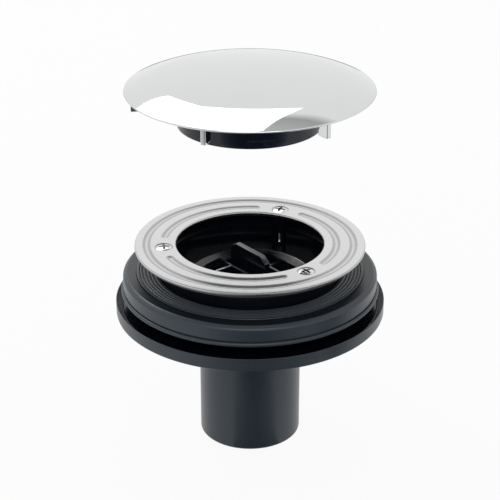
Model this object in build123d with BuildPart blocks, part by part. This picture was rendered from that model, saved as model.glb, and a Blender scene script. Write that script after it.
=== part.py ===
from build123d import *
from math import acos, asin, cos, radians, sin, sqrt, tan
import os

os.makedirs("parts", exist_ok=True)

# A shower tray waste, in millimetres. The z axis is the axis of the waste, up from the
# lower end of the outlet spigot. The cover is shown lifted off, straight above its seat.

# Outlet spigot and dish
pipe_diameter = 50.0
pipe_wall = 3.0
pipe_chamfer = 1.0
spigot_length = 67.5
funnel_height = 8.5
socket_depth = 9.0
socket_wall = 3.0
dish_height = 6.6
dish_floor = 3.0
dish_reach = 2.8
dish_rim_edge = 0.4
dish_rim_slope = 2.6
dish_edge_chamfer = 0.5

# Inlet body
neck_diameter = 89.0
neck_wall = 4.0
neck_chamfer = 0.5
neck_step = 1.5
neck_step_depth = 4.8
tube_wall = 3.7
tube_lead_in = 0.6
dish_gap = 4.5
plate_thickness = 2.0
plate_lip = 1.0
plate_edge_fillet = 0.5
bowl_floor_rise = 1.5

# Tray seal and its carrier
seal_width = 10.5
seal_thickness = 2.8
seal_undercut = 1.3
seal_flat_width = 1.6
seal_rib_count = 5
seal_rib_pitch = 1.65
seal_rib_height = 0.9
seal_rib_crest = 0.5
carrier_land = 5.8
carrier_gutter = 4.9
carrier_rim_rise = 2.3
carrier_rim_radius = 1.5
carrier_shadow_gap = 0.5
tray_gap = 10.2

# Clamping flange, its gasket and screws
gasket_thickness = 1.7
gasket_inset = 1.4
gasket_hole_wall = 1.2
flange_thickness = 1.5
flange_overlap = 11.2
flange_edge_fillet = 1.0
flange_mouth_fillet = 0.7
opening_inset = 6.1
groove_width = 4.6
groove_depth = 0.5
groove_slope = 1.0
ring_groove_inset = 5.7
arc_groove_span = 87.0
screw_count = 3
screw_angle = 68.5
screw_inset = 2.7
screw_head_diameter = 8.0
screw_head_angle = 100.0
screw_head_crown = 0.5
screw_crown_taper = 60.0
screw_core_diameter = 3.3
screw_shank_diameter = 4.0
screw_length = 18.0
recess_length = 4.4
recess_width = 0.9
recess_depth = 1.2
boss_wall = 2.3

# Strainer insert and its seal
insert_diameter = 58.0
insert_wall = 2.5
insert_depth = 10.0
insert_rim = 3.5
insert_rim_thickness = 2.5
insert_rim_flat = 2.3
insert_rim_fillet = 0.5
insert_mouth = 1.0
bar_thickness = 1.4
bar_spacing = 13.2
bar_rise = 5.3
bar_crown = 32.0
bar_depth = 4.0
cross_bar_spacing = 11.0
cross_bar_drop = 4.0
fin_thickness = 3.0
fin_width = 27.2
fin_rise = 13.9
fin_chamfer_width = 4.1
fin_chamfer_height = 2.9
fin_edge_fillet = 0.5
o_ring_section = 1.6
o_ring_inset = 3.5

# Cover and its plug ring
cover_lift = 69.5
cover_overhang = 2.6
cover_wall = 1.8
cover_crown_radius = 260.0
cover_crown_width = 84.0
cover_edge_radius = 60.0
cover_rim_height = 0.8
foot_count = 6
foot_height = 7.8
foot_length = 6.0
foot_thickness = 2.4
foot_inset = 2.8
plug_wall = 2.0
plug_depth = 8.7
plug_land_rise = 4.0
plug_land_margin = 0.6
plug_edge_fillet = 0.6
bead_count = 3
bead_width = 11.7
bead_height = 1.5
bead_stand = 0.4
bead_rise = 2.4

# Clearances
tube_clearance = 0.1
insert_clearance = 0.3
ring_clearance = 0.4
screw_clearance = 0.05
shank_clearance = 0.3
o_ring_clearance = 0.05
plug_clearance = 1.4

# Radii, from the neck outwards and inwards
neck_radius = neck_diameter / 2
bowl_radius = neck_radius - neck_wall
screw_circle = neck_radius - screw_inset
boss_radius = screw_core_diameter / 2 + boss_wall
ring_bore = neck_radius + ring_clearance
seal_radius = ring_bore + seal_width
carrier_crest = seal_radius + carrier_gutter
carrier_radius = carrier_crest + carrier_rim_radius
plate_radius = carrier_radius + plate_lip
dish_radius = plate_radius + dish_reach
flange_radius = neck_radius + flange_overlap
opening_radius = screw_circle - opening_inset
gasket_radius = flange_radius - gasket_inset
shank_hole_radius = screw_shank_diameter / 2 + shank_clearance
gasket_bore = screw_circle - shank_hole_radius - gasket_hole_wall
ring_groove = flange_radius - ring_groove_inset
plug_radius = opening_radius - plug_clearance
cover_radius = flange_radius + cover_overhang
insert_radius = insert_diameter / 2
insert_rim_radius = insert_radius + insert_rim
tube_bore = insert_radius + insert_clearance
tube_radius = tube_bore + tube_wall
socket_bore = tube_radius + tube_clearance
socket_radius = socket_bore + socket_wall
pipe_radius = pipe_diameter / 2
pipe_bore = pipe_radius - pipe_wall

# Heights, from the end of the spigot upwards
dish_base = spigot_length
dish_floor_top = dish_base + dish_floor
tube_seat = dish_floor_top - socket_depth
dish_rim = dish_base + dish_height
plate_base = dish_rim + dish_gap
plate_top = plate_base + plate_thickness
bowl_floor = plate_top + bowl_floor_rise
carrier_seat = plate_top + carrier_land
carrier_top = carrier_seat + carrier_rim_rise
seal_top = carrier_seat + seal_thickness
neck_top = seal_top + tray_gap
flange_base = neck_top + gasket_thickness
flange_top = flange_base + flange_thickness
screw_tip = flange_top - screw_length
foot_base = flange_top + cover_lift
cover_rim = foot_base + foot_height
plug_base = foot_base - plug_depth
insert_rim_top = bowl_floor + insert_rim_thickness
bar_top = insert_rim_top + bar_rise

# Outlet body: spigot, funnel and dish, with the socket that takes the inlet tube
funnel_base = tube_seat - funnel_height
with BuildPart() as outlet_body:
    with BuildSketch(Plane.XZ):
        with BuildLine():
            Polyline(
                (pipe_bore, 0),
                (pipe_radius - pipe_chamfer, 0),
                (pipe_radius, pipe_chamfer),
                (pipe_radius, funnel_base - pipe_wall),
                (socket_radius, tube_seat - socket_wall),
                (socket_radius, dish_base),
                (dish_radius - dish_edge_chamfer, dish_base),
                (dish_radius, dish_base + dish_edge_chamfer),
                (dish_radius, dish_rim),
                (dish_radius - dish_rim_edge, dish_rim),
                (dish_radius - dish_rim_edge - dish_rim_slope, dish_floor_top),
                (socket_bore, dish_floor_top),
                (socket_bore, tube_seat),
                (tube_bore, tube_seat),
                (pipe_bore, funnel_base),
                close=True,
            )
        make_face()
    revolve(axis=Axis.Z)

outlet_body.part.label = "outlet_body"
export_step(outlet_body.part, "parts/outlet_body.step")

# Inlet body: tube, bowl floor, neck with screw bosses, and the plate that carries the seal
neck_mouth = bowl_radius + neck_step
neck_step_base = neck_top - neck_step_depth
with BuildPart() as inlet_body:
    with BuildSketch(Plane.XZ) as inlet_profile:
        with BuildLine():
            Polyline(
                (tube_bore, tube_seat),
                (tube_radius, tube_seat),
                (tube_radius, plate_base),
                (plate_radius, plate_base),
                (plate_radius, plate_top),
                (neck_radius, plate_top),
                (neck_radius, neck_top - neck_chamfer),
                (neck_radius - neck_chamfer, neck_top),
                (neck_mouth, neck_top),
                (neck_mouth, neck_step_base),
                (bowl_radius, neck_step_base - neck_step),
                (bowl_radius, bowl_floor),
                (tube_bore + tube_lead_in, bowl_floor),
                (tube_bore, bowl_floor - tube_lead_in),
                close=True,
            )
        make_face()
        plate_corners = inlet_profile.vertices().group_by(Axis.X)[-1]
        fillet(plate_corners, plate_edge_fillet)
    revolve(axis=Axis.Z)
    with BuildSketch(Plane.XY.offset(bowl_floor)):
        with PolarLocations(screw_circle, screw_count, screw_angle):
            Circle(boss_radius)
        Circle(neck_radius - neck_chamfer, mode=Mode.INTERSECT)
    extrude(amount=neck_top - bowl_floor)
    with BuildSketch(Plane.XY.offset(neck_top)):
        with PolarLocations(screw_circle, screw_count, screw_angle):
            Circle(screw_core_diameter / 2 + screw_clearance)
    extrude(amount=screw_tip - shank_clearance - neck_top, mode=Mode.SUBTRACT)

inlet_body.part.label = "inlet_body"
export_step(inlet_body.part, "parts/inlet_body.step")

# Seal carrier: a ring with a gutter that rises to a rounded outer rim
with BuildPart() as seal_carrier:
    with BuildSketch(Plane.XZ):
        with BuildLine():
            gutter_start = (seal_radius - seal_undercut, carrier_seat)
            crest = (carrier_crest, carrier_top)
            rim_side = (carrier_radius, carrier_top - carrier_rim_radius)
            Polyline(
                rim_side,
                (carrier_radius, plate_top + carrier_shadow_gap),
                (carrier_radius - carrier_shadow_gap, plate_top + carrier_shadow_gap),
                (carrier_radius - carrier_shadow_gap, plate_top),
                (ring_bore, plate_top),
                (ring_bore, carrier_seat),
                gutter_start,
            )
            TangentArc(gutter_start, crest, tangent=(1, 0))
            RadiusArc(crest, rim_side, carrier_rim_radius)
        make_face()
    revolve(axis=Axis.Z)

seal_carrier.part.label = "seal_carrier"
export_step(seal_carrier.part, "parts/seal_carrier.step")

# Tray seal: a rubber ring with concentric ribs on top and an undercut outer edge
rib_valley = seal_top - seal_rib_height
first_rib = seal_radius - seal_flat_width - seal_rib_pitch * (seal_rib_count - 0.5)
rib_points = []
for rib in range(seal_rib_count):
    rib_radius = first_rib + rib * seal_rib_pitch
    rib_points += [
        (rib_radius - seal_rib_pitch / 2, rib_valley),
        (rib_radius - seal_rib_crest / 2, seal_top),
        (rib_radius + seal_rib_crest / 2, seal_top),
    ]
with BuildPart() as tray_seal:
    with BuildSketch(Plane.XZ):
        with BuildLine():
            Polyline(
                (seal_radius - seal_undercut, carrier_seat),
                (ring_bore, carrier_seat),
                (ring_bore, rib_valley),
                *rib_points,
                (seal_radius - seal_flat_width, rib_valley),
                (seal_radius - seal_flat_width, seal_top),
                (seal_radius, seal_top),
                close=True,
            )
        make_face()
    revolve(axis=Axis.Z)

tray_seal.part.label = "tray_seal"
export_step(tray_seal.part, "parts/tray_seal.step")

# Flange gasket: a flat ring between the neck and the flange
with BuildPart() as flange_gasket:
    with BuildSketch(Plane.XY.offset(neck_top)):
        Circle(gasket_radius)
        Circle(gasket_bore, mode=Mode.SUBTRACT)
        with PolarLocations(screw_circle, screw_count, screw_angle):
            Circle(shank_hole_radius, mode=Mode.SUBTRACT)
    extrude(amount=gasket_thickness)

flange_gasket.part.label = "flange_gasket"
export_step(flange_gasket.part, "parts/flange_gasket.step")

# Clamping flange: a stamped ring with one full groove, arc grooves and countersunk holes
groove_arc = CenterArc((0, 0), screw_circle, -arc_groove_span / 2, arc_groove_span)
groove_floor = flange_top - groove_depth
half_groove = groove_width / 2
with BuildPart() as flange:
    with BuildSketch(Plane.XZ) as flange_profile:
        with BuildLine():
            Polyline(
                (opening_radius, flange_base),
                (flange_radius, flange_base),
                (flange_radius, flange_top),
                (ring_groove + half_groove, flange_top),
                (ring_groove + half_groove - groove_slope, groove_floor),
                (ring_groove - half_groove + groove_slope, groove_floor),
                (ring_groove - half_groove, flange_top),
                (opening_radius, flange_top),
                close=True,
            )
        make_face()
        top_corners = flange_profile.vertices().group_by(Axis.Y)[-1].sort_by(Axis.X)
        fillet(top_corners[0], flange_mouth_fillet)
        fillet(top_corners[-1], flange_edge_fillet)
    revolve(axis=Axis.Z)
    with BuildSketch(Plane.XY.offset(flange_top)):
        with PolarLocations(0, screw_count, screw_angle + 180 / screw_count):
            SlotArc(groove_arc, groove_width)
    extrude(amount=-groove_depth, mode=Mode.SUBTRACT)
    with Locations(Plane.XY.offset(flange_top)):
        with PolarLocations(screw_circle, screw_count, screw_angle):
            CounterSinkHole(
                shank_hole_radius,
                screw_head_diameter / 2 + screw_clearance,
                counter_sink_angle=screw_head_angle,
            )

flange.part.label = "flange"
export_step(flange.part, "parts/flange.step")

# Flange screws: raised countersunk heads with a cross recess, and a plain core for the thread
head_half_angle = screw_head_angle / 2
head_depth = (screw_head_diameter - screw_shank_diameter) / 2 / tan(radians(head_half_angle))
with BuildPart() as flange_screws:
    with BuildSketch(Plane.XY.offset(flange_top)):
        with PolarLocations(screw_circle, screw_count, screw_angle):
            Circle(screw_head_diameter / 2)
    extrude(amount=screw_head_crown, taper=screw_crown_taper)
    with BuildSketch(Plane.XY.offset(flange_top)):
        with PolarLocations(screw_circle, screw_count, screw_angle):
            Circle(screw_head_diameter / 2)
    extrude(amount=-head_depth, taper=head_half_angle)
    with BuildSketch(Plane.XY.offset(neck_top + shank_clearance)):
        with PolarLocations(screw_circle, screw_count, screw_angle):
            Circle(screw_shank_diameter / 2)
    extrude(amount=flange_top - head_depth - neck_top - shank_clearance)
    with BuildSketch(Plane.XY.offset(screw_tip)):
        with PolarLocations(screw_circle, screw_count, screw_angle):
            Circle(screw_core_diameter / 2)
    extrude(amount=neck_top + shank_clearance - screw_tip)
    with BuildSketch(Plane.XY.offset(flange_top + screw_head_crown)):
        with PolarLocations(screw_circle, screw_count, screw_angle):
            Rectangle(recess_length, recess_width)
            Rectangle(recess_width, recess_length)
    extrude(amount=-recess_depth, mode=Mode.SUBTRACT)

flange_screws.part.label = "flange_screws"
export_step(flange_screws.part, "parts/flange_screws.step")

# Strainer insert: a rimmed skirt, crossing bars that rise above the rim, and a fin to grip
fin_angle = screw_angle - 360 / screw_count
fin_top = insert_rim_top + fin_rise
bar_base = bowl_floor - bar_depth
insert_base = bowl_floor - insert_depth
insert_bore = insert_radius - insert_wall
groove_radius = tube_bore - o_ring_section - 2 * o_ring_clearance
groove_base = insert_base + o_ring_inset
groove_top = groove_base + o_ring_section + 2 * o_ring_clearance
wall_middle = insert_radius - insert_wall / 2


def upright_plane(angle):
    """A vertical plane through the axis, with its x direction at this plan angle and y up."""
    c = cos(radians(angle))
    s = sin(radians(angle))
    return Plane(origin=(0, 0, 0), x_dir=(c, s, 0), z_dir=(s, -c, 0))


with BuildPart() as strainer_insert:
    with BuildSketch(Plane.XZ) as insert_profile:
        with BuildLine():
            Polyline(
                (insert_bore, insert_base),
                (insert_radius, insert_base),
                (insert_radius, groove_base),
                (groove_radius, groove_base),
                (groove_radius, groove_top),
                (insert_radius, groove_top),
                (insert_radius, bowl_floor),
                (insert_rim_radius, bowl_floor),
                (insert_rim_radius, insert_rim_top),
                (insert_rim_radius - insert_rim_flat, insert_rim_top),
                (insert_bore, bowl_floor - insert_mouth),
                close=True,
            )
        make_face()
        rim_corners = insert_profile.vertices().group_by(Axis.Y)[-1]
        fillet(rim_corners, insert_rim_fillet)
    revolve(axis=Axis.Z)
    for side in (-1, 1):
        bar_offset = side * bar_spacing / 2
        bar_end = sqrt(wall_middle**2 - bar_offset**2)
        with BuildSketch(upright_plane(fin_angle).offset(bar_offset)):
            with BuildLine():
                Polyline(
                    (-bar_end, bar_base),
                    (bar_end, bar_base),
                    (bar_end, bowl_floor),
                    (bar_crown / 2, bar_top),
                    (-bar_crown / 2, bar_top),
                    (-bar_end, bowl_floor),
                    close=True,
                )
            make_face()
        extrude(amount=bar_thickness / 2, both=True)
    for side in (-1, 1):
        bar_offset = side * cross_bar_spacing / 2
        bar_end = sqrt(wall_middle**2 - bar_offset**2)
        with BuildSketch(upright_plane(fin_angle + 90).offset(bar_offset)):
            with BuildLine():
                Polyline(
                    (-bar_end, bar_base),
                    (bar_end, bar_base),
                    (bar_end, bowl_floor),
                    (bar_crown / 2, bar_top),
                    (bar_spacing / 2, bar_top),
                    (bar_spacing / 2, bar_top - cross_bar_drop),
                    (-bar_spacing / 2, bar_top - cross_bar_drop),
                    (-bar_spacing / 2, bar_top),
                    (-bar_crown / 2, bar_top),
                    (-bar_end, bowl_floor),
                    close=True,
                )
            make_face()
        extrude(amount=bar_thickness / 2, both=True)
    with BuildSketch(upright_plane(fin_angle)):
        with BuildLine():
            Polyline(
                (-fin_width / 2, bar_base),
                (fin_width / 2, bar_base),
                (fin_width / 2, fin_top - fin_chamfer_height),
                (fin_width / 2 - fin_chamfer_width, fin_top),
                (fin_chamfer_width - fin_width / 2, fin_top),
                (-fin_width / 2, fin_top - fin_chamfer_height),
                close=True,
            )
        make_face()
    extrude(amount=fin_thickness / 2, both=True)
    fillet(strainer_insert.faces().sort_by(Axis.Z)[-1].edges(), fin_edge_fillet)

strainer_insert.part.label = "strainer_insert"
export_step(strainer_insert.part, "parts/strainer_insert.step")

# Insert seal: an O-ring in the groove of the strainer's skirt
with BuildPart() as insert_seal:
    with BuildSketch(Plane.XZ):
        with Locations((groove_radius + o_ring_clearance + o_ring_section / 2, (groove_base + groove_top) / 2)):
            Circle(o_ring_section / 2)
    revolve(axis=Axis.Z)

insert_seal.part.label = "insert_seal"
export_step(insert_seal.part, "parts/insert_seal.step")

# Cover: a thin dome of two tangent arcs, with radial feet and a flat land under it
crown_angle = asin(cover_crown_width / 2 / cover_crown_radius)
edge_centre = cover_crown_width / 2 - cover_edge_radius * sin(crown_angle)
rim_angle = asin((cover_radius - edge_centre) / cover_edge_radius)
edge_centre_height = cover_rim + cover_rim_height - cover_edge_radius * cos(rim_angle)
crown_centre_height = edge_centre_height - (cover_crown_radius - cover_edge_radius) * cos(crown_angle)
cover_top = crown_centre_height + cover_crown_radius
plug_land = cover_rim + plug_land_rise


def dome_points(inset, end_height):
    """Points on the dome, this far inside its outer face, from its top out to this height."""
    crown = cover_crown_radius - inset
    edge = cover_edge_radius - inset
    end_angle = acos((end_height - edge_centre_height) / edge)
    middle_angle = (crown_angle + end_angle) / 2
    return [
        (0, crown_centre_height + crown),
        (crown * sin(crown_angle / 2), crown_centre_height + crown * cos(crown_angle / 2)),
        (crown * sin(crown_angle), crown_centre_height + crown * cos(crown_angle)),
        (edge_centre + edge * sin(middle_angle), edge_centre_height + edge * cos(middle_angle)),
        (edge_centre + edge * sin(end_angle), edge_centre_height + edge * cos(end_angle)),
    ]


with BuildPart() as cover:
    with BuildSketch(Plane.XY.offset(foot_base)):
        with PolarLocations(cover_radius - foot_inset - foot_length / 2, foot_count, screw_angle):
            Rectangle(foot_length, foot_thickness)
    extrude(amount=cover_top - foot_base)
    with BuildSketch(Plane.XY.offset(plug_land)):
        Circle(plug_radius + plug_land_margin)
        Circle(plug_radius - plug_wall - plug_land_margin, mode=Mode.SUBTRACT)
    extrude(amount=cover_top - plug_land)
    with BuildSketch(Plane.XZ):
        with BuildLine():
            middle = dome_points(cover_wall / 2, cover_rim)
            ThreePointArc(middle[0], middle[1], middle[2])
            ThreePointArc(middle[2], middle[3], middle[4])
            Polyline(middle[4], (middle[4][0], foot_base), (0, foot_base), middle[0])
        make_face()
    revolve(axis=Axis.Z, mode=Mode.INTERSECT)
    with BuildSketch(Plane.XZ):
        with BuildLine():
            outer = dome_points(0, cover_rim + cover_rim_height)
            inner = dome_points(cover_wall, cover_rim)
            ThreePointArc(outer[0], outer[1], outer[2])
            ThreePointArc(outer[2], outer[3], outer[4])
            Polyline(outer[4], (cover_radius, cover_rim), inner[4])
            ThreePointArc(inner[4], inner[3], inner[2])
            ThreePointArc(inner[2], inner[1], inner[0])
            Line(inner[0], outer[0])
        make_face()
    revolve(axis=Axis.Z)

cover.part.label = "cover"
export_step(cover.part, "parts/cover.step")

# Cover plug ring: a tube against the cover's land, with low beads near its lower edge
bead_angle = screw_angle - 180 / foot_count
with BuildPart() as cover_plug_ring:
    with BuildSketch(Plane.XY.offset(plug_base)):
        Circle(plug_radius)
        Circle(plug_radius - plug_wall, mode=Mode.SUBTRACT)
    extrude(amount=plug_land - plug_base)
    fillet(cover_plug_ring.edges().group_by(Axis.Z)[0], plug_edge_fillet)
    with BuildSketch(Plane.XY.offset(plug_base + bead_rise)):
        with PolarLocations(plug_radius, bead_count, bead_angle):
            Rectangle(plug_wall, bead_width)
        Circle(plug_radius + bead_stand, mode=Mode.INTERSECT)
        Circle(plug_radius - plug_wall / 2, mode=Mode.SUBTRACT)
    extrude(amount=bead_height)

cover_plug_ring.part.label = "cover_plug_ring"
export_step(cover_plug_ring.part, "parts/cover_plug_ring.step")
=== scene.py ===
from math import acos, asin, atan2, cos, degrees, hypot, pi, radians, sin, tan, tau

import bpy
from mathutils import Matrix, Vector


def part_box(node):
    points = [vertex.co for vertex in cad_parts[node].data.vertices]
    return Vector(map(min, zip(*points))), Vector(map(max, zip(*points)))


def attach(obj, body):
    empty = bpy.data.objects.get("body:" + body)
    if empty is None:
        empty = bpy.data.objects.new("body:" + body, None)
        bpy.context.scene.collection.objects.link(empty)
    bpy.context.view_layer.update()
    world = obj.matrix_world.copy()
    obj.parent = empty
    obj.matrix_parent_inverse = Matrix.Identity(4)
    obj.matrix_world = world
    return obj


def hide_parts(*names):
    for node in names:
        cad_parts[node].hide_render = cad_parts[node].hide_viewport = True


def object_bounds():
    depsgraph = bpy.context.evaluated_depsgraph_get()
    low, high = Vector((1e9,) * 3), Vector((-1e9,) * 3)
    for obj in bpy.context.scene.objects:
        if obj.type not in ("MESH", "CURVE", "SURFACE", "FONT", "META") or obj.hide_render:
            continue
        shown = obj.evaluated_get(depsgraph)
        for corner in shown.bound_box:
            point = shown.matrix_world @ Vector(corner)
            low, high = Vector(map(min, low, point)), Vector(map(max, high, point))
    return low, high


# A shower tray waste with its cover lifted off. Sizes are in millimetres, and MM turns them to metres.
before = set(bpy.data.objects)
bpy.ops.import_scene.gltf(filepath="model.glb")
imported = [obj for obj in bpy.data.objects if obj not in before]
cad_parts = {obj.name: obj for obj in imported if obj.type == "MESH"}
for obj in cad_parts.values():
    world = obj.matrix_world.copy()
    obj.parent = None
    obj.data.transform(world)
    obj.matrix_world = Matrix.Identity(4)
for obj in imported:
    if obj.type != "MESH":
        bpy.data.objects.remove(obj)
cad_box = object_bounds()
MM = 0.001
TURN_STEPS = 192
ROUND_SEGMENTS = 3
SAME_PLACE = 0.001
MERGE_REACH = 0.0005


def node_box(node):
    """The lowest and highest corners of a CAD node, in millimetres."""
    low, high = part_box(node)
    return low / MM, high / MM


# Heights and radii that the CAD nodes give
_, outlet_high = node_box("outlet_body")
inlet_low, inlet_high = node_box("inlet_body")
carrier_low, carrier_high = node_box("seal_carrier")
seal_low, seal_high = node_box("tray_seal")
gasket_low, gasket_high = node_box("flange_gasket")
flange_low, flange_high = node_box("flange")
screws_low, screws_high = node_box("flange_screws")
insert_low, insert_high = node_box("strainer_insert")
cover_low, cover_high = node_box("cover")
plug_low, plug_high = node_box("cover_plug_ring")

tube_seat = inlet_low.z
dish_rim = outlet_high.z
dish_radius = outlet_high.x
plate_radius = inlet_high.x
plate_top = carrier_low.z
carrier_radius = carrier_high.x
carrier_seat = seal_low.z
carrier_top = carrier_high.z
seal_top = seal_high.z
seal_radius = seal_high.x
neck_top = gasket_low.z
gasket_radius = gasket_high.x
flange_base = flange_low.z
flange_top = flange_high.z
flange_radius = flange_high.x
screw_tip = screws_low.z
crown_top = screws_high.z
insert_base = insert_low.z
insert_rim_radius = insert_high.x
fin_top = insert_high.z
foot_base = cover_low.z
cover_radius = cover_high.x
plug_base = plug_low.z
plug_land = plug_high.z

# Screws, and the angles that the pieces share
screw_count = 3
screw_angle = 68.5
screw_circle = 41.8
screw_head_radius = 4.0
screw_shank_radius = 2.0
screw_core_radius = 1.65
screw_hole_radius = 2.3
head_edge = 0.3
fin_angle = screw_angle - 360 / screw_count

# Other sizes that more than one piece uses
dish_floor_top = 70.5
tube_bore = 29.3
bowl_floor = 82.1
ring_bore = 44.9
gutter_start = 54.1
plug_radius = 34.3
plug_wall = 2.0

# How far joined shapes run into each other, and how far a cutter runs past a face
overlap = 0.5
cut_past = 1.0


class HalfSection:
    """A half section drawn point by point, as distance from the axis and height, in millimetres."""

    def __init__(self, name, r, z, round_off=0):
        bpy.ops.object.select_all(action="DESELECT")
        bpy.ops.mesh.primitive_plane_add(size=MM)
        self.piece = bpy.context.object
        self.piece.name = name
        self.piece.data.name = name
        bpy.ops.object.mode_set(mode="EDIT")
        bpy.ops.mesh.select_mode(type="VERT")
        bpy.ops.mesh.select_all(action="SELECT")
        bpy.ops.mesh.merge(type="CENTER")
        bpy.ops.transform.translate(value=(r * MM, 0, z * MM))
        self.start = self.pen = (r, z)
        self.corners = {}
        self.note_corner(round_off)

    def note_corner(self, round_off):
        """Keeps the pen's place as a corner that is later rounded back by this much."""
        if round_off:
            self.corners.setdefault(round_off, []).append(self.pen)

    def line(self, r, z, round_off=0):
        """A straight stretch to this point, whose corner is later rounded back by this much."""
        step = ((r - self.pen[0]) * MM, 0, (z - self.pen[1]) * MM)
        bpy.ops.mesh.extrude_region_move(TRANSFORM_OT_translate={"value": step})
        self.pen = (r, z)
        self.note_corner(round_off)

    def arc(self, r, z, angle, steps):
        """An arc about this point. A positive angle, in radians, turns from up to outwards."""
        bpy.ops.mesh.spin(steps=steps, angle=angle, center=(r * MM, 0, z * MM), axis=(0, -1, 0))
        out = self.pen[0] - r
        up = self.pen[1] - z
        self.pen = (r + out * cos(angle) + up * sin(angle), z + up * cos(angle) - out * sin(angle))

    def pick(self, places):
        """Leaves only the section's points at these places selected."""
        pick_points(self.piece, lambda p: any(hypot(p.x - r, p.z - z) < SAME_PLACE for r, z in places))

    def close(self):
        """An edge from the last point back to the first."""
        self.pick((self.start, self.pen))
        bpy.ops.mesh.edge_face_add()

    def turn(self, steps=TURN_STEPS):
        """Rounds the noted corners and turns the section about the axis into a closed shell."""
        for round_off, places in self.corners.items():
            self.pick(places)
            bpy.ops.mesh.bevel(offset=round_off * MM, segments=ROUND_SEGMENTS, affect="VERTICES")
        bpy.ops.mesh.select_all(action="SELECT")
        bpy.ops.mesh.spin(steps=steps, angle=tau, center=(0, 0, 0), axis=(0, 0, 1))
        bpy.ops.mesh.select_all(action="SELECT")
        bpy.ops.mesh.remove_doubles(threshold=MERGE_REACH * MM)
        bpy.ops.mesh.normals_make_consistent(inside=False)
        bpy.ops.object.mode_set(mode="OBJECT")
        return self.piece


def draw(name, points):
    """A half section through these points: distance, height and the rounding of the corner, if any."""
    section = HalfSection(name, *points[0])
    for point in points[1:]:
        section.line(*point)
    return section


def turned_ring(name, points, steps=TURN_STEPS):
    """A ring turned from the closed section through these points."""
    section = draw(name, points)
    section.close()
    return section.turn(steps)


def pick_points(piece, test):
    """Leaves edit mode with only the vertices selected whose place, in millimetres, passes the test."""
    bpy.ops.mesh.select_mode(type="VERT")
    bpy.ops.mesh.select_all(action="DESELECT")
    bpy.ops.object.mode_set(mode="OBJECT")
    for vertex in piece.data.vertices:
        vertex.select = test(vertex.co / MM)
    bpy.ops.object.mode_set(mode="EDIT")


def pick_faces(piece, test):
    """Leaves edit mode with only the faces selected whose centre, in millimetres, passes the test."""
    bpy.ops.mesh.select_mode(type="FACE")
    bpy.ops.mesh.select_all(action="DESELECT")
    bpy.ops.object.mode_set(mode="OBJECT")
    for face in piece.data.polygons:
        face.select = test(face.center / MM)
    bpy.ops.object.mode_set(mode="EDIT")


def only(piece):
    """Selects this piece alone and makes it active."""
    bpy.ops.object.select_all(action="DESELECT")
    piece.select_set(True)
    bpy.context.view_layer.objects.active = piece


def combine(piece, other, operation):
    """Joins or cuts the piece with another closed shell, which is used up."""
    only(piece)
    bpy.ops.object.modifier_add(type="BOOLEAN")
    boolean = piece.modifiers[-1]
    boolean.object = other
    boolean.operation = operation
    boolean.solver = "EXACT"
    bpy.ops.object.modifier_apply(modifier=boolean.name)
    bpy.data.objects.remove(other)


def soften(piece, width, segments=2, sharp_angle=40):
    """A narrow rounding along all sharp edges of a piece."""
    only(piece)
    bpy.ops.object.modifier_add(type="BEVEL")
    bevel = piece.modifiers[-1]
    bevel.width = width * MM
    bevel.segments = segments
    bevel.angle_limit = radians(sharp_angle)
    bpy.ops.object.modifier_apply(modifier=bevel.name)


def smooth(piece, angle=38):
    """Smooth shading up to this angle, with flat faces kept flat. Gives the piece back."""
    only(piece)
    bpy.ops.object.shade_smooth_by_angle(angle=radians(angle))
    bpy.ops.object.modifier_add(type="WEIGHTED_NORMAL")
    weighted = piece.modifiers[-1]
    weighted.keep_sharp = True
    bpy.ops.object.modifier_apply(modifier=weighted.name)
    return piece


def apply_place():
    """Puts the place, turn and size of the selected piece into its mesh."""
    bpy.ops.object.transform_apply(location=True, rotation=True, scale=True)


def put(piece, x=0, y=0, angle=0):
    """Turns a piece about the z axis by degrees and moves it, with both kept in its mesh."""
    only(piece)
    piece.location = (x * MM, y * MM, 0)
    piece.rotation_euler.z = radians(angle)
    apply_place()


def block(name, size, centre):
    """A box of this size at this centre, in millimetres, with its place in its mesh."""
    bpy.ops.object.select_all(action="DESELECT")
    bpy.ops.mesh.primitive_cube_add(size=1, location=[c * MM for c in centre], scale=[s * MM for s in size])
    apply_place()
    bpy.context.object.name = name
    return bpy.context.object


def rod(name, radius, base, top, x=0, y=0, sides=48):
    """An upright rod from one height to another, in millimetres, with its place in its mesh."""
    bpy.ops.object.select_all(action="DESELECT")
    bpy.ops.mesh.primitive_cylinder_add(
        vertices=sides, radius=radius * MM, depth=(top - base) * MM,
        location=(x * MM, y * MM, (base + top) / 2 * MM),
    )
    apply_place()
    bpy.context.object.name = name
    return bpy.context.object


def upright_plate(name, outline, thickness, offset=0):
    """A plate across the y axis, drawn as points of x and height, this far along y."""
    piece = draw(name, outline).piece
    bpy.ops.mesh.select_all(action="SELECT")
    bpy.ops.mesh.edge_face_add()
    bpy.ops.transform.translate(value=(0, (offset - thickness / 2) * MM, 0))
    bpy.ops.mesh.extrude_region_move(TRANSFORM_OT_translate={"value": (0, thickness * MM, 0)})
    bpy.ops.mesh.select_all(action="SELECT")
    bpy.ops.mesh.normals_make_consistent(inside=False)
    bpy.ops.object.mode_set(mode="OBJECT")
    return piece


def screw_places():
    """The x, y and angle of each screw."""
    for number in range(screw_count):
        angle = screw_angle + number * 360 / screw_count
        yield screw_circle * cos(radians(angle)), screw_circle * sin(radians(angle)), angle


def turn_from(place, angle, count):
    """The degrees from the nearest of evenly spread angles, the first of them this one, to a point."""
    spacing = 360 / count
    return (degrees(atan2(place.y, place.x)) - angle + spacing / 2) % spacing - spacing / 2


# Pieces

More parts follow.
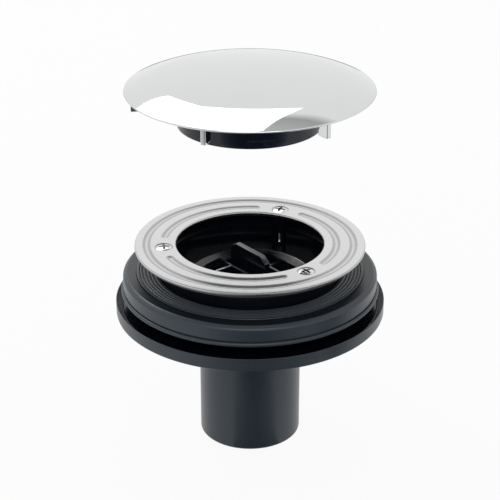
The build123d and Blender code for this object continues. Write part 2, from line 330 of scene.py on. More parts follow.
def make_outlet_body():
    """Spigot, funnel and dish, with the socket that takes the inlet tube."""
    pipe_radius = 25.0
    pipe_bore = 22.0
    cone_base = 50.0
    cone_top = 58.5
    funnel_base = 53.0
    socket_bore = 33.1
    socket_radius = 36.1
    dish_base = 67.5
    rim_width = 0.4
    wall_foot = 3.0
    return smooth(turned_ring("outlet_moulding", [
        (pipe_bore, 0, 0.4),
        (pipe_radius, 0, 1.0),
        (pipe_radius, cone_base, 3.0),
        (socket_radius, cone_top, 2.0),
        (socket_radius, dish_base, 1.0),
        (dish_radius, dish_base, 0.8),
        (dish_radius, dish_rim, 0.18),
        (dish_radius - rim_width, dish_rim, 0.18),
        (dish_radius - wall_foot, dish_floor_top, 0.8),
        (socket_bore, dish_floor_top, 0.5),
        (socket_bore, tube_seat),
        (tube_bore, tube_seat),
        (pipe_bore, funnel_base, 3.0),
    ]))


def make_inlet_body():
    """Tube, bowl floor and neck, with slotted screw bosses inside the neck."""
    tube_radius = 33.0
    plate_base = 78.6
    neck_radius = 44.5
    neck_mouth = 42.0
    bowl_radius = 40.5
    ledge = 94.6
    boss_radius = 3.95
    boss_top = neck_top - 0.05
    hole_radius = 1.7
    hole_base = screw_tip - 0.3
    slot_base = 83.6
    slot_top = 91.2
    slot_width = 3.0
    slot_depth = boss_radius + overlap
    piece = turned_ring("inlet_moulding", [
        (tube_bore, tube_seat, 0.3),
        (tube_radius, tube_seat, 0.3),
        (tube_radius, plate_base, 1.0),
        (plate_radius, plate_base, 0.6),
        (plate_radius, plate_top, 0.9),
        (neck_radius, plate_top),
        (neck_radius, neck_top, 0.5),
        (neck_mouth, neck_top, 0.3),
        (neck_mouth, ledge),
        (bowl_radius, ledge - neck_mouth + bowl_radius),
        (bowl_radius, bowl_floor),
        (tube_bore, bowl_floor, 0.6),
    ])
    for x, y, _ in screw_places():
        boss = rod("boss", boss_radius, bowl_floor - overlap, boss_top, x, y)
        core = rod("neck_core", neck_radius - overlap, plate_top, neck_top + cut_past, sides=TURN_STEPS)
        combine(boss, core, "INTERSECT")
        combine(piece, boss, "UNION")
    for x, y, angle in screw_places():
        combine(piece, rod("pilot_hole", hole_radius, hole_base, neck_top + cut_past, x, y), "DIFFERENCE")
        middle = (screw_circle - slot_depth / 2, 0, (slot_base + slot_top) / 2)
        slot = block("boss_slot", (slot_depth, slot_width, slot_top - slot_base), middle)
        put(slot, angle=angle)
        combine(piece, slot, "DIFFERENCE")
    return smooth(piece)


def make_seal_carrier():
    """A ring that the seal lies in, with a broad rim and a soft slope outside."""
    gutter_slope = 1.35
    gutter_lip = 0.15
    rim_slope = 1.8
    rim_drop = 1.6
    joint_line = 0.5
    return smooth(turned_ring("seal_carrier_ring", [
        (ring_bore, plate_top),
        (ring_bore, carrier_seat, 0.4),
        (gutter_start, carrier_seat),
        (gutter_start + gutter_slope, carrier_top - gutter_lip, 0.1),
        (carrier_radius - rim_slope, carrier_top, 0.5),
        (carrier_radius, carrier_top - rim_drop, 0.7),
        (carrier_radius, plate_top + joint_line, 0.2),
        (carrier_radius - joint_line, plate_top + joint_line),
        (carrier_radius - joint_line, plate_top),
    ]))


def make_tray_seal():
    """A rubber ring with rounded ribs on top and an undercut outer edge."""
    rib_count = 5
    rib_pitch = 1.65
    rib_height = 0.55
    rib_crest = 0.6
    flat_width = 1.6
    valley = seal_top - rib_height
    flat_start = seal_radius - flat_width
    points = [(gutter_start, carrier_seat), (ring_bore, carrier_seat, 0.3), (ring_bore, valley, 0.2)]
    for rib in range(rib_count):
        middle = flat_start - rib_pitch * (rib_count - 0.5 - rib)
        points += [
            (middle - rib_pitch / 2, valley, 0.12),
            (middle - rib_crest / 2, seal_top, 0.25),
            (middle + rib_crest / 2, seal_top, 0.25),
        ]
    points += [(flat_start, valley, 0.12), (flat_start, seal_top, 0.3), (seal_radius, seal_top, 0.35)]
    return smooth(turned_ring("ribbed_seal", points))


def make_flange_gasket():
    """A flat rubber ring with rounded edges and holes for the screws."""
    gasket_bore = 38.3
    piece = turned_ring("flange_packing", [
        (gasket_bore, neck_top, 0.4),
        (gasket_radius, neck_top, 0.6),
        (gasket_radius, flange_base, 0.6),
        (gasket_bore, flange_base, 0.4),
    ])
    for x, y, _ in screw_places():
        hole = rod("hole", screw_hole_radius, neck_top - cut_past, flange_base + cut_past, x, y)
        combine(piece, hole, "DIFFERENCE")
    return smooth(piece)


def make_flange():
    """A stamped ring: one groove all round, three arc grooves and countersunk holes."""
    opening_radius = 35.7
    ring_groove = 50.0
    groove_depth = 0.55
    groove_half = 2.4
    arc_angle = screw_angle + 180 / screw_count
    arc_half_span = 43.5
    rows_each_side = 12
    row_width = 0.21
    sink_radius = screw_head_radius + 0.35
    sink_base = flange_top - 1.75
    sink_edge = flange_top - 0.1
    points = [
        (opening_radius, flange_base, 0.2),
        (flange_radius, flange_base, 0.2),
        (flange_radius, flange_top, 0.55),
    ]
    for middle in (ring_groove, screw_circle):
        for row in range(rows_each_side, -rows_each_side - 1, -1):
            points.append((middle + row * row_width, flange_top))
    points.append((opening_radius, flange_top, 0.7))
    piece = turned_ring("stamped_flange", points, steps=480)

    def on_groove_line(place):
        """Whether a point of the top lies on the middle line of a groove."""
        radius = hypot(place.x, place.y)
        on_ring = abs(radius - ring_groove) < row_width / 2
        in_span = abs(turn_from(place, arc_angle, screw_count)) < arc_half_span
        on_arc = abs(radius - screw_circle) < row_width / 2 and in_span
        return place.z > flange_top - groove_depth / 2 and (on_ring or on_arc)

    bpy.ops.object.mode_set(mode="EDIT")
    pick_points(piece, on_groove_line)
    bpy.ops.transform.translate(
        value=(0, 0, -groove_depth * MM), use_proportional_edit=True,
        proportional_edit_falloff="SMOOTH", proportional_size=groove_half * MM,
    )
    bpy.ops.object.mode_set(mode="OBJECT")
    for x, y, _ in screw_places():
        cutter = draw("countersink", [
            (0, flange_base - cut_past),
            (screw_hole_radius, flange_base - cut_past),
            (screw_hole_radius, sink_base),
            (sink_radius, sink_edge),
            (sink_radius, flange_top + cut_past),
            (0, flange_top + cut_past),
        ]).turn(steps=48)
        put(cutter, x, y)
        combine(piece, cutter, "DIFFERENCE")
    return smooth(piece, angle=30)


def make_screws():
    """Raised countersunk screws with a cross recess and a thread."""
    crown = crown_top - flange_top + head_edge
    crown_radius = (screw_head_radius**2 + crown**2) / (2 * crown)
    head_land = 0.1
    head_half_angle = 50
    head_depth = (screw_head_radius - screw_shank_radius) / tan(radians(head_half_angle))
    shank_end = neck_top + 0.3
    thread_pitch = 0.8
    thread_depth = 0.24
    thread_root = screw_core_radius - thread_depth
    plain_tip = 1.0
    section = HalfSection("cross_screw", 0, crown_top)
    section.arc(0, crown_top - crown_radius, asin(screw_head_radius / crown_radius), steps=8)
    section.line(screw_head_radius, flange_top - head_edge - head_land, 0.05)
    section.line(screw_shank_radius, flange_top - head_depth)
    section.line(screw_shank_radius, shank_end, 0.1)
    for turn in range(round((shank_end - screw_tip - plain_tip) / thread_pitch)):
        section.line(thread_root, shank_end - (turn + 0.5) * thread_pitch)
        section.line(screw_core_radius, shank_end - (turn + 1) * thread_pitch)
    section.line(thread_root, screw_tip)
    section.line(0, screw_tip)
    # With 60 steps, no line of the turned shell meets a corner of the recess
    screw = section.turn(steps=60)
    recess_length = 6.4
    recess_width = 1.3
    recess_taper = 0.55
    recess_top = crown_top + overlap
    recess_floor = crown_top - 1.9
    recess_middle = (recess_top + recess_floor) / 2
    recess_size = (recess_length, recess_width, recess_top - recess_floor)
    for angle in (0, 90):
        slot = block("recess", recess_size, (0, 0, recess_middle))
        bpy.ops.object.mode_set(mode="EDIT")
        pick_points(slot, lambda p: p.z < recess_middle)
        bpy.ops.transform.resize(
            value=(recess_taper, recess_taper, 1), center_override=(0, 0, recess_floor * MM),
        )
        bpy.ops.object.mode_set(mode="OBJECT")
        put(slot, angle=angle)
        combine(screw, slot, "DIFFERENCE")
    soften(screw, 0.06)
    smooth(screw)
    screws = []
    for x, y, angle in screw_places():
        only(screw)
        bpy.ops.object.duplicate()
        copy = bpy.context.object
        copy.name = f"cross_screw_{len(screws) + 1}"
        copy.data.name = copy.name
        put(copy, x, y, angle)
        screws.append(copy)
    bpy.data.objects.remove(screw)
    return screws


def make_strainer():
    """A rimmed skirt with crossing bars that rise above the rim, and a fin to grip."""
    insert_radius = 29.0
    insert_bore = 26.5
    wall_middle = (insert_radius + insert_bore) / 2
    mouth_drop = 1.0
    groove_radius = 27.6
    groove_base = 75.6
    groove_top = 77.3
    rim_top = 84.6
    rim_width = 2.3
    bar_base = 78.1
    bar_top = 89.9
    bar_crown = 16.0
    bar_half_spacing = 6.6
    bar_thickness = 1.4
    bar_edge = 0.2
    cross_half_spacing = 5.5
    cross_top = bar_top - 4.0
    fin_half = 13.6
    fin_thickness = 3.0
    fin_edge = 0.4
    chamfer_start = fin_half - 4.1
    chamfer_base = fin_top - 2.9
    piece = turned_ring("strainer_moulding", [
        (insert_bore, insert_base, 0.3),
        (insert_radius, insert_base, 0.4),
        (insert_radius, groove_base),
        (groove_radius, groove_base),
        (groove_radius, groove_top),
        (insert_radius, groove_top),
        (insert_radius, bowl_floor),
        (insert_rim_radius, bowl_floor, 0.2),
        (insert_rim_radius, rim_top, 0.5),
        (insert_rim_radius - rim_width, rim_top, 0.5),
        (insert_bore, bowl_floor - mouth_drop, 0.6),
    ])

    def add_bar(name, offset, notch, angle):
        """A bar from wall to wall, this far beside the axis, with the points of a notch in its top."""
        end = (wall_middle**2 - offset**2) ** 0.5
        outline = [
            (-end, bar_base), (end, bar_base), (end, bowl_floor), (bar_crown, bar_top), *notch,
            (-bar_crown, bar_top), (-end, bowl_floor),
        ]
        bar = upright_plate(name, outline, bar_thickness, offset)
        soften(bar, bar_edge)
        put(bar, angle=angle)
        combine(piece, bar, "UNION")

    cross_notch = [
        (bar_half_spacing, bar_top), (bar_half_spacing, cross_top),
        (-bar_half_spacing, cross_top), (-bar_half_spacing, bar_top),
    ]
    for side in (-1, 1):
        add_bar("bar", side * bar_half_spacing, [], fin_angle)
        add_bar("cross_bar", side * cross_half_spacing, cross_notch, fin_angle + 90)
    fin = upright_plate("fin", [
        (-fin_half, bar_base), (fin_half, bar_base), (fin_half, chamfer_base),
        (chamfer_start, fin_top), (-chamfer_start, fin_top), (-fin_half, chamfer_base),
    ], fin_thickness)
    soften(fin, fin_edge, segments=3)
    put(fin, angle=fin_angle)
    combine(piece, fin, "UNION")
    return smooth(piece)


def make_cover():
    """A thin dome of two tangent arcs, with radial feet and a flat land under it."""
    wall = 1.8
    crown_radius = 260.0
    crown_half_width = 42.0
    edge_radius = 60.0
    rim_height = 0.8
    rim_base = foot_base + 7.8
    land_margin = 0.6
    crown_angle = asin(crown_half_width / crown_radius)
    edge_centre = crown_half_width - edge_radius * sin(crown_angle)
    rim_angle = asin((cover_radius - edge_centre) / edge_radius)
    edge_height = rim_base + rim_height - edge_radius * cos(rim_angle)
    crown_height = edge_height - (crown_radius - edge_radius) * cos(crown_angle)
    inner_crown = crown_radius - wall
    inner_angle = acos((rim_base - edge_height) / (edge_radius - wall))
    land_outer = plug_radius + land_margin
    land_inner = plug_radius - plug_wall - land_margin
    outer_angle = asin(land_outer / inner_crown)
    land_angle = asin(land_inner / inner_crown)
    section = HalfSection("polished_cover", 0, crown_height + crown_radius)
    section.arc(0, crown_height, crown_angle, steps=28)
    section.arc(edge_centre, edge_height, rim_angle - crown_angle, steps=20)
    section.note_corner(0.3)
    section.line(cover_radius, rim_base, 0.25)
    section.line(edge_centre + (edge_radius - wall) * sin(inner_angle), rim_base)
    section.arc(edge_centre, edge_height, crown_angle - inner_angle, steps=16)
    section.arc(0, crown_height, outer_angle - crown_angle, steps=6)
    section.line(land_outer, plug_land, 0.2)
    section.line(land_inner, plug_land, 0.2)
    section.line(land_inner, crown_height + inner_crown * cos(land_angle))
    section.arc(0, crown_height, -land_angle, steps=16)
    piece = section.turn(steps=256)
    foot_count = 6
    foot_thickness = 2.4
    foot_edge = 0.35
    foot_outer = cover_radius - 2.8
    foot_inner = foot_outer - 6.0
    outer_root = rim_base + 1.0
    inner_root = rim_base + 3.2
    outline = [
        (foot_inner, foot_base), (foot_outer, foot_base), (foot_outer, outer_root), (foot_inner, inner_root),
    ]
    for number in range(foot_count):
        foot = upright_plate("foot", outline, foot_thickness)
        soften(foot, foot_edge, segments=3)
        put(foot, angle=screw_angle + number * 360 / foot_count)
        combine(piece, foot, "UNION")
    return smooth(piece)


def make_plug_ring():
    """A ring under the cover, with three low beads near its lower edge."""
    bead_count = 3
    bead_angle = screw_angle - 30
    bead_half_span = 9.77
    bead_base = plug_base + 2.4
    bead_top = bead_base + 1.5
    bead_stand = 0.4
    plug_bore = plug_radius - plug_wall
    piece = turned_ring("plug_ring_moulding", [
        (plug_bore, plug_base, 0.6),
        (plug_radius, plug_base, 0.6),
        (plug_radius, bead_base),
        (plug_radius, bead_top),
        (plug_radius, plug_land),
        (plug_bore, plug_land),
    ], steps=240)

    def on_bead(place):
        """Whether a face of the ring lies where a bead stands out."""
        in_span = abs(turn_from(place, bead_angle, bead_count)) < bead_half_span
        outside = hypot(place.x, place.y) > plug_radius - plug_wall / 4
        return outside and in_span and bead_base < place.z < bead_top

    bpy.ops.object.mode_set(mode="EDIT")
    pick_faces(piece, on_bead)
    bpy.ops.mesh.extrude_region_shrink_fatten(TRANSFORM_OT_shrink_fatten={"value": bead_stand * MM})
    bpy.ops.object.mode_set(mode="OBJECT")
    soften(piece, 0.12)
    return smooth(piece)


# Nodes for finishes and stage

# The mix node's two inputs and its result, for values and for colours
mix_sockets = {"FLOAT": (2, 3, 0), "RGBA": (6, 7, 2)}


def feed(tree, socket, source):
    """Links a socket to another node's output, or sets its value."""
    if isinstance(source, bpy.types.NodeSocket):
        tree.links.new(source, socket)
    else:
        socket.default_value = source


def add_node(tree, kind, inputs=None, **settings):
    """A shader node with these settings, and its inputs linked or set."""
    node = tree.nodes.new("ShaderNode" + kind)
    for setting, value in settings.items():
        setattr(node, setting, value)
    for socket, source in (inputs or {}).items():
        feed(tree, node.inputs[socket], source)
    return node


def calculate(tree, operation, *sources):
    """The result of a calculation with values or outputs."""
    return add_node(tree, "Math", dict(enumerate(sources)), operation=operation).outputs["Value"]


def mix(tree, kind, share, first, second, blend="MIX"):
    """Goes from the first value or colour to the second by a share, or blends the second over the first."""
    first_socket, second_socket, result = mix_sockets[kind]
    sources = {0: share, first_socket: first, second_socket: second}
    return add_node(tree, "Mix", sources, data_type=kind, blend_type=blend).outputs[result]


def map_range(tree, value, low, high):
    """A value carried from one range to another, whose low and high ends are each given as from and to."""
    ends = {"From Min": low[0], "To Min": low[1], "From Max": high[0], "To Max": high[1]}
    return add_node(tree, "MapRange", {"Value": value, **ends}).outputs["Result"]


def ramp(tree, value, stops):
    """A colour ramp through these stops, each a share and a colour."""
    node = add_node(tree, "ValToRGB", {"Fac": value})
    elements = node.color_ramp.elements
    for share, _ in stops[2:]:
        elements.new(share)
    for element, (share, colour) in zip(elements, stops):
        element.position = share
        element.color = (*colour, 1)
    return node.outputs["Color"]


def grey_stops(tones):
    """Stops for a ramp of greys, from shares and tones."""
    return [(share, (tone, tone, tone)) for share, tone in tones]


def coordinates(tree, kind="Object"):
    """A point of the surface, or its normal or direction."""
    return add_node(tree, "TexCoord").outputs[kind]


def split(tree, vector):
    """The X, Y and Z outputs of a vector."""
    return add_node(tree, "SeparateXYZ", {"Vector": vector}).outputs


def flattened(tree):
    """A point of the surface, brought down to the floor."""
    flat = add_node(tree, "VectorMath", {0: coordinates(tree), 1: (1, 1, 0)}, operation="MULTIPLY")
    return flat.outputs["Vector"]


def length_of(tree, vector):
    """How long a vector is."""
    return add_node(tree, "VectorMath", {0: vector}, operation="LENGTH").outputs["Value"]


def new_group(name, inputs, outputs):
    """A shader group with these float inputs and outputs: its tree, what it is given and what it gives."""
    group = bpy.data.node_groups.new(name, "ShaderNodeTree")
    for socket, value in inputs.items():
        entry = group.interface.new_socket(socket, in_out="INPUT", socket_type="NodeSocketFloat")
        entry.default_value = value
    for socket in outputs:
        group.interface.new_socket(socket, in_out="OUTPUT", socket_type="NodeSocketFloat")
    return group, group.nodes.new("NodeGroupInput").outputs, group.nodes.new("NodeGroupOutput").inputs


def new_material(name):
    """A material, its node tree and the inputs of its shader."""
    material = bpy.data.materials.new(name)
    material.use_nodes = True
    return material, material.node_tree, shader_inputs(material)


def shader_inputs(material):
    """The inputs of a material's shader."""
    return material.node_tree.nodes["Principled BSDF"].inputs


def source_of(socket):
    """The output that a socket is linked to."""
    return socket.links[0].from_socket


# Finishes

grain_share = 0.35
tone_ends = (0.3, 0.7)
# Slopes and colour of the painted shade in the screws' cross recesses
recess_wall_slope = 0.75
head_top_slope = 0.92
recess_shade_colour = (0.09, 0.09, 0.09, 1)


def make_grain_group():
    """Fine moulded grain with slow patches: a height for bump and a tone from 0 to 1."""
    tree, given, result = new_group("moulded_grain", {"Grain": 900.0, "Patches": 25.0}, ("Height", "Tone"))
    place = coordinates(tree)
    grain = add_node(tree, "TexNoise", {"Vector": place, "Scale": given["Grain"], "Detail": 3.0})
    patches = add_node(tree, "TexNoise", {"Vector": place, "Scale": given["Patches"], "Detail": 2.0})
    slow = calculate(tree, "MULTIPLY", patches.outputs["Fac"], 1 - grain_share)
    tone = calculate(tree, "MULTIPLY_ADD", grain.outputs["Fac"], grain_share, slow)
    feed(tree, result["Height"], grain.outputs["Fac"])
    feed(tree, result["Tone"], tone)
    return tree


def make_turned_group():
    """Fine lines round the axis, as a satin ring is finished: a height for bump and a tone."""
    tree, given, result = new_group("turned_lines", {"Lines": 4200.0, "Along": 14.0}, ("Height", "Tone"))
    flat = flattened(tree)
    unit = add_node(tree, "VectorMath", {0: flat}, operation="NORMALIZE").outputs["Vector"]
    along = add_node(tree, "VectorMath", {0: unit, "Scale": given["Along"]}, operation="SCALE")
    across = calculate(tree, "MULTIPLY", length_of(tree, flat), given["Lines"])
    lift = add_node(tree, "CombineXYZ", {"Z": across})
    ends = {0: along.outputs["Vector"], 1: lift.outputs["Vector"]}
    join = add_node(tree, "VectorMath", ends, operation="ADD").outputs["Vector"]
    lines = add_node(tree, "TexNoise", {"Vector": join, "Scale": 1.0, "Detail": 2.0}).outputs["Fac"]
    feed(tree, result["Height"], lines)
    feed(tree, result["Tone"], lines)
    return tree


def make_shaded_side_group():
    """1 on faces nearer to the axis than the radius and above the base, in metres: the side that water runs
    over, which is polished and gets painted shade.
    """
    tree, given, result = new_group("shaded_side", {"Radius": 0.04, "Base": 0.0}, ("Mask",))
    nearer = calculate(tree, "LESS_THAN", length_of(tree, flattened(tree)), given["Radius"])
    above = calculate(tree, "GREATER_THAN", split(tree, coordinates(tree))["Z"], given["Base"])
    feed(tree, result["Mask"], calculate(tree, "MULTIPLY", nearer, above))
    return tree


grain_group = make_grain_group()
turned_group = make_turned_group()
shaded_side_group = make_shaded_side_group()


def make_finish(name, group, settings, colours, roughness, bump, sockets):
    """A procedural finish: the group's tone sets colour and roughness, and its height the bump."""
    material, tree, shader = new_material(name)
    for socket, value in sockets.items():
        shader[socket].default_value = value
    detail = add_node(tree, "Group", settings, node_tree=group).outputs
    feed(tree, shader["Base Color"], ramp(tree, detail["Tone"], list(zip(tone_ends, colours))))
    feed(tree, shader["Roughness"], map_range(tree, detail["Tone"], *zip(tone_ends, roughness)))
    strength, depth = bump
    dent = {"Strength": strength, "Distance": depth * MM, "Height": detail["Height"]}
    feed(tree, shader["Normal"], add_node(tree, "Bump", dent).outputs["Normal"])
    return material


def polish_and_shade_inside(material, radius, base, colour, roughness):
    """Makes the faces within the radius and above the base, in millimetres, smoother, and darker as painted
    shade for the little light that reaches them.
    """
    tree, shader = material.node_tree, shader_inputs(material)
    place = {"Radius": radius * MM, "Base": base * MM}
    inside = add_node(tree, "Group", place, node_tree=shaded_side_group).outputs["Mask"]
    tint = mix(tree, "RGBA", inside, source_of(shader["Base Color"]), (*colour, 1))
    feed(tree, shader["Base Color"], tint)
    gloss = mix(tree, "FLOAT", inside, source_of(shader["Roughness"]), roughness)
    feed(tree, shader["Roughness"], gloss)


def shade_by_height(material, base, top, tones):
    """Painted shade: multiplies the colour by tones over the height from base to top, in millimetres."""
    tree, shader = material.node_tree, shader_inputs(material)
    height = map_range(tree, split(tree, coordinates(tree))["Z"], (base * MM, 0), (top * MM, 1))
    shade = ramp(tree, height, grey_stops(tones))
    tint = mix(tree, "RGBA", 1.0, source_of(shader["Base Color"]), shade, "MULTIPLY")
    feed(tree, shader["Base Color"], tint)


def paint_recess_shade(material, edge, thread_tip):
    """Painted shade: a dark colour on the steep walls of a cross recess and on all the steel between the
    head's edge and the thread's tip.
    """
    tree, shader = material.node_tree, shader_inputs(material)
    slope = split(tree, coordinates(tree, "Normal"))["Z"]
    facing_up = map_range(tree, slope, (recess_wall_slope, 0), (head_top_slope, 1))
    height = split(tree, coordinates(tree))["Z"]
    above = calculate(tree, "GREATER_THAN", height, edge * MM)
    below = calculate(tree, "LESS_THAN", height, thread_tip * MM)
    bright = calculate(tree, "MAXIMUM", calculate(tree, "MULTIPLY", facing_up, above), below)
    feed(tree, shader["Base Color"], mix(tree, "RGBA", bright, recess_shade_colour, source_of(shader["Base Color"])))


def make_body_finish(name, inside_radius, inside_base):
    """Slate plastic with moulded grain, and a polished water side whose black colour is painted shade."""
    material = make_finish(
        name, grain_group, {"Grain": 2600.0, "Patches": 30.0},
        [(0.021, 0.031, 0.042), (0.026, 0.037, 0.048)], (0.28, 0.36), (0.12, 0.02), {"IOR": 1.46},
    )
    polish_and_shade_inside(material, inside_radius, inside_base, (0.003, 0.004, 0.007), 0.16)
    return material


# Where the polished side with its painted shade and the painted shade of the screws end, and tones of
# painted shade by share of a piece's height
inlet_shaded_side = (plate_radius - 2, tube_seat)
outlet_shaded_side = (dish_radius - 3.4, dish_floor_top - 0.3)
carrier_shaded_side = (ring_bore + 0.5, plate_top)
shade_top = flange_top - head_edge - 0.02
shade_base = screw_tip + 1.6
flange_shade_tones = ((0.1, 0.2), (0.5, 0.6), (0.633, 0.95), (0.743, 0.6), (0.927, 0.64), (0.989, 1))
carrier_shade_tones = ((0.972, 1), (0.985, 0.35))
rubber_shade_tones = ((0.74, 0.15), (0.9, 1))

chrome = make_finish(
    "polished_chrome", grain_group, {"Grain": 40.0, "Patches": 18.0},
    [(0.662, 0.679, 0.672), (0.682, 0.699, 0.692)], (0.02, 0.05), (0.02, 0.02), {"Metallic": 1.0},
)
satin_steel = make_finish(
    "satin_steel", turned_group, {"Lines": 4200.0, "Along": 5.0},
    [(0.69, 0.69, 0.69), (0.73, 0.73, 0.73)], (0.24, 0.32), (0.06, 0.02), {"Metallic": 1.0},
)
# Painted shade: the flange is darker on its groove walls, a little in the groove floors, and towards its
# lower edge.
shade_by_height(satin_steel, flange_base, flange_top, flange_shade_tones)
screw_steel = make_finish(
    "screw_steel", grain_group, {"Grain": 1500.0, "Patches": 300.0},
    [(0.66, 0.66, 0.66), (0.74, 0.74, 0.74)], (0.12, 0.20), (0.1, 0.02), {"Metallic": 1.0},
)
# Painted shade in the cross recesses and down the screws' threads
paint_recess_shade(screw_steel, shade_top, shade_base)
# Each body's inner side is polished, and its black colour there is painted shade.
inlet_plastic = make_body_finish("slate_inlet", *inlet_shaded_side)
outlet_plastic = make_body_finish("slate_outlet", *outlet_shaded_side)
carrier_plastic = make_body_finish("slate_carrier", *carrier_shaded_side)
# Painted shade: the carrier's nearly flat top beside the seal is darker.
shade_by_height(carrier_plastic, plate_top, carrier_top, carrier_shade_tones)
insert_plastic = make_finish(
    "strainer_black", grain_group, {"Grain": 2600.0, "Patches": 40.0},
    [(0.003, 0.004, 0.007), (0.005, 0.006, 0.010)], (0.12, 0.18), (0.08, 0.02), {"IOR": 1.65},
)
rubber = make_finish(
    "seal_rubber", grain_group, {"Grain": 3200.0, "Patches": 60.0},
    [(0.034, 0.043, 0.053), (0.040, 0.049, 0.059)], (0.30, 0.40), (0.20, 0.03), {"IOR": 1.52},
)
# Painted shade: the rubber is darker below the seal's ribs, in its undercut, and on all rubber that lies
# lower.
shade_by_height(rubber, carrier_seat, seal_top, rubber_shade_tones)
gloss_black = make_finish(
    "gloss_black", grain_group, {"Grain": 60.0, "Patches": 20.0},
    [(0.002, 0.005, 0.014), (0.003, 0.007, 0.018)], (0.05, 0.09), (0.02, 0.02), {"IOR": 1.42},
)


def dress(piece, material, node):
    """Gives a piece its finish and slot, lets it ride on the body and stand for its CAD node."""
    piece.data.materials.clear()
    piece.data.materials.append(material)
    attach(piece, "root")
    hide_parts(node)


dress(make_outlet_body(), outlet_plastic, "outlet_body")
dress(make_inlet_body(), inlet_plastic, "inlet_body")
dress(make_seal_carrier(), carrier_plastic, "seal_carrier")
dress(make_tray_seal(), rubber, "tray_seal")
dress(make_flange_gasket(), rubber, "flange_gasket")
stamped_flange = make_flange()
dress(stamped_flange, satin_steel, "flange")
for screw in make_screws():
    dress(screw, screw_steel, "flange_screws")
dress(make_strainer(), insert_plastic, "strainer_insert")
dress(make_cover(), chrome, "cover")
dress(make_plug_ring(), gloss_black, "cover_plug_ring")
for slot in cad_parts["insert_seal"].material_slots:
    slot.material = rubber

# Stage, light and camera, in metres

world_level = 0.65
ceiling_tones = ((0.74, 1.0), (0.81, 0.46), (0.95, 0.62))
floor_shade = 0.75
floor_share = 0.93
floor_size = 8.0
matt_roughness = 0.9
matt_gloss = 0.1
overhead_softbox = {"place": (-0.49, 0.742, 1.19), "size": (1.3, 1.0), "level": 2.0}
overhead_turn = -12.9
left_softbox = {"place": (-0.92, 1.244, 1.452), "size": (1.45, 0.53), "level": 2.0}
front_softbox = {"place": (0.0, -1.1, 0.95), "size": (1.2, 0.6), "level": 1.5}
card_tones = ((0.08, 0.05), (0.48, 0.9))
back_tones = ((0.08, 0.4), (0.48, 0.45))
front_card = {"start": 0.01, "length": 0.33, "spread": 0.95, "turn": 8.0}
side_card = {"start": 0.15, "length": 0.18, "spread": 1.9, "turn": 64.0}
far_card = {"start": 0.22, "length": 0.4, "spread": 5.0, "turn": 6.0}
back_card = {"start": 0.45, "length": 1.0, "spread": 5.0, "turn": 180.0, "tones": back_tones}
image_size = 500
focal_pixels = 1476.5
camera_place = (0.0, -0.6481, 0.4019)
camera_pitch = 25.12
sensor_width = 36.0


def seen_rays(tree):
    """1 for rays that show the background: camera, glossy and transmission rays."""
    rays = add_node(tree, "LightPath").outputs
    first = calculate(tree, "MAXIMUM", rays["Is Camera Ray"], rays["Is Glossy Ray"])
    return calculate(tree, "MAXIMUM", first, rays["Is Transmission Ray"])


def show_white(tree, share, lit, white, output):
    """Shows the white shader in place of the lit one, by a share."""
    both = add_node(tree, "MixShader", {"Fac": share, 1: lit.outputs[0], 2: white.outputs[0]})
    feed(tree, tree.nodes[output].inputs["Surface"], both.outputs[0])


def make_world():
    """A white surround with a grey ceiling: white for the camera and for mirrors, softer as light."""
    world = bpy.data.worlds.new("white_studio")
    bpy.context.scene.world = world
    world.use_nodes = True
    tree = world.node_tree
    ceiling = ramp(tree, split(tree, coordinates(tree, "Generated"))["Z"], grey_stops(ceiling_tones))
    light = tree.nodes["Background"]
    feed(tree, light.inputs["Strength"], world_level)
    feed(tree, light.inputs["Color"], ceiling)
    white = add_node(tree, "Background", {"Strength": 1.0, "Color": ceiling})
    show_white(tree, seen_rays(tree), light, white, "World Output")


def make_floor():
    """A pale floor that the camera and mirrors see nearly white, with the object's soft shadow on it."""
    bpy.ops.object.select_all(action="DESELECT")
    bpy.ops.mesh.primitive_plane_add(size=floor_size)
    floor = bpy.context.object
    floor.name = "studio_floor"
    material, tree, shader = new_material("pale_floor")
    shader["Base Color"].default_value = (floor_shade, floor_shade, floor_shade, 1)
    shader["Roughness"].default_value = matt_roughness
    shader["Specular IOR Level"].default_value = matt_gloss
    glow = add_node(tree, "Emission", {"Strength": 1.0})
    share = calculate(tree, "MULTIPLY", seen_rays(tree), floor_share)
    show_white(tree, share, tree.nodes["Principled BSDF"], glow, "Material Output")
    floor.data.materials.append(material)


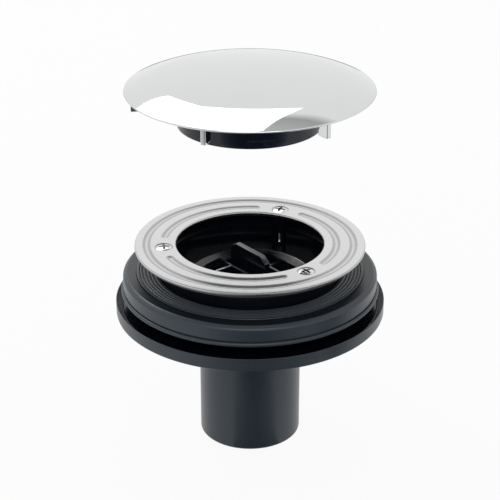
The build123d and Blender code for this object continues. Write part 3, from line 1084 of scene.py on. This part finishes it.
def make_card(name, start, length, spread, turn, tones=card_tones):
    """A grey card on the floor, its tip to the object, that only reflections show: a painted dark
    reflection, which fades to its sides.
    """
    bpy.ops.object.select_all(action="DESELECT")
    bpy.ops.mesh.primitive_plane_add(size=2, location=(0, -1, 0))
    card = bpy.context.object
    card.name = name
    bpy.ops.object.transform_apply(location=True, rotation=False, scale=False)
    bpy.ops.object.mode_set(mode="EDIT")
    pick_points(card, lambda p: p.y > -1 / MM)
    bpy.ops.mesh.merge(type="CENTER")
    bpy.ops.object.mode_set(mode="OBJECT")
    card.scale = (length * spread, length / 2, 1)
    angle = radians(turn)
    card.location = (start * sin(angle), -start * cos(angle), MM)
    card.rotation_euler.z = angle
    material, tree, shader = new_material(name)
    shader["Roughness"].default_value = matt_roughness
    place = split(tree, coordinates(tree))
    to_side = calculate(tree, "ABSOLUTE", calculate(tree, "DIVIDE", place["X"], place["Y"]))
    feed(tree, shader["Base Color"], map_range(tree, to_side, *tones))
    card.data.materials.append(material)
    card.visible_camera = False
    card.visible_diffuse = False
    card.visible_shadow = False


def make_softbox(name, place, size, level, rotation):
    """A rectangular lamp that is this bright to look at, kept off the flange, which shows the surround."""
    bpy.ops.object.light_add(type="AREA", location=place, rotation=rotation)
    lamp = bpy.context.object
    lamp.name = name
    lamp.data.shape = "RECTANGLE"
    lamp.data.size, lamp.data.size_y = size
    lamp.data.energy = level * pi * size[0] * size[1]
    only(stamped_flange)
    bpy.context.view_layer.objects.active = lamp
    bpy.ops.object.light_linking_receivers_link(link_state="EXCLUDE")


def facing_object(place):
    """The rotation that turns a lamp's face from its place to the middle of the object."""
    middle = (cad_box[0] + cad_box[1]) / 2
    return (middle - Vector(place)).to_track_quat("-Z", "Y").to_euler()


def make_camera():
    """A camera in front of the object that looks down on it, as the photograph was taken."""
    bpy.ops.object.camera_add(location=camera_place, rotation=(radians(90 - camera_pitch), 0, 0))
    camera = bpy.context.object
    camera.data.sensor_width = sensor_width
    camera.data.lens = focal_pixels / image_size * sensor_width
    bpy.context.scene.camera = camera


make_world()
make_floor()
make_card("front_card", **front_card)
make_card("side_card", **side_card)
make_card("far_card", **far_card)
make_card("back_card", **back_card)
make_softbox("overhead_softbox", **overhead_softbox, rotation=(0, 0, radians(overhead_turn)))
make_softbox("left_softbox", **left_softbox, rotation=facing_object(left_softbox["place"]))
make_softbox("front_softbox", **front_softbox, rotation=facing_object(front_softbox["place"]))
make_camera()
bpy.context.scene.view_settings.view_transform = "Standard"
